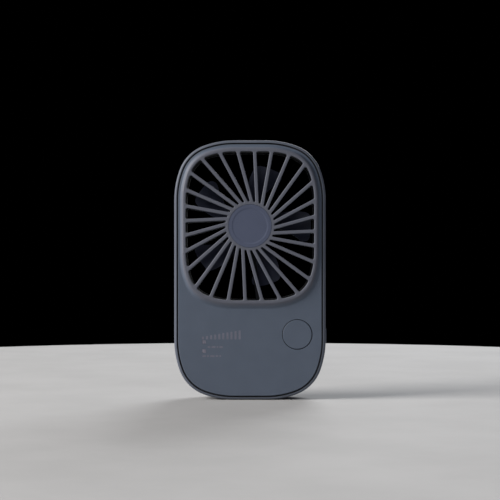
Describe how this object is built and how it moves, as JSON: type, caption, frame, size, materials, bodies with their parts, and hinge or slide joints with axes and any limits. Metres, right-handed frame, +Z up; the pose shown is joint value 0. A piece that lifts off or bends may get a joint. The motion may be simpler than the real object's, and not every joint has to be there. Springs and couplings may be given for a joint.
{
  "type": "pocket box fan",
  "caption": "Slim upright battery fan: a spoked grille in a rounded casing over a bladed impeller, with a round push button below the grille and a flat end to stand on.",
  "frame": {"origin": "middle of the flat end that the fan stands on", "axes": "+X to the right seen from the front, -Y out of the front grille, +Z up"},
  "size_m": [0.0827, 0.0235, 0.1404],
  "materials": {
    "housing_plastic": "fine matte texture",
    "cover_plastic": "fine matte texture",
    "cap_plastic": "satin",
    "impeller_plastic": "satin",
    "button_plastic": "fine matte texture",
    "key_plastic": "satin",
    "bracket_alloy": "as die cast",
    "bush_bronze": "sintered",
    "shaft_steel": "ground",
    "washer_nylon": "natural nylon",
    "core_steel": "laminated",
    "copper_wire": "enamelled",
    "magnet": "bonded ferrite",
    "yoke_steel": "zinc plated",
    "circuit_board": "solder mask",
    "chip_black": "moulded",
    "switch_black": "moulded",
    "port_steel": "nickel plated",
    "port_plastic": "moulded",
    "ferrite": "pressed powder",
    "ceramic": "fired",
    "led_white": "moulded",
    "clear_window": "clear",
    "socket_white": "moulded",
    "pouch_foil": "embossed foil",
    "foam_pad": "closed-cell foam",
    "wire_red": "extruded",
    "wire_black": "extruded",
    "screw_steel": "black zinc"
  },
  "bodies": {
    "casing": {"rear_housing": "housing_plastic", "front_cover": "cover_plastic", "rear_grille": "housing_plastic", "hub_cap": "cap_plastic", "wire_cover": "cover_plastic", "motor_bracket": "bracket_alloy", "bearing_bush": "bush_bronze", "stator_core": "core_steel", "stator_coils": "copper_wire", "motor_board": "circuit_board", "power_switch": "switch_black", "side_switch": "switch_black", "main_board": "circuit_board", "usb_shell": "port_steel", "usb_tongue": "port_plastic", "controller_chip": "chip_black", "charge_coil": "ferrite", "capacitors": "ceramic", "indicator_leds": "led_white", "light_pipe": "clear_window", "battery_socket": "socket_white", "motor_socket": "socket_white", "battery_cell": "pouch_foil", "battery_pad": "foam_pad", "guard_board": "circuit_board", "battery_lead_red": "wire_red", "battery_lead_black": "wire_black", "motor_lead_red": "wire_red", "motor_lead_black": "wire_black", "case_screws": "screw_steel", "board_screws": "screw_steel", "motor_screws": "screw_steel"},
    "rotor": {"impeller": "impeller_plastic", "rotor_yoke": "yoke_steel", "rotor_magnet": "magnet", "motor_shaft": "shaft_steel", "shaft_clip": "shaft_steel", "thrust_washer": "washer_nylon"},
    "button": {"power_button": "button_plastic", "power_plunger": "switch_black"},
    "key": {"side_key": "key_plastic", "side_plunger": "washer_nylon"}
  },
  "joints": [
    {"name": "impeller_spin", "type": "hinge", "parent": "casing", "child": "rotor", "pos_m": [0, 0, 0.09405], "axis": [0, 1, 0], "continuous": true},
    {"name": "power_button_press", "type": "slide", "parent": "casing", "child": "button", "axis": [0, 1, 0], "range_m": [0, 0.0004], "stiffness_N_per_m": 2500},
    {"name": "side_key_press", "type": "slide", "parent": "casing", "child": "key", "axis": [-1, 0, 0], "range_m": [0, 0.0004], "stiffness_N_per_m": 2500}
  ]
}
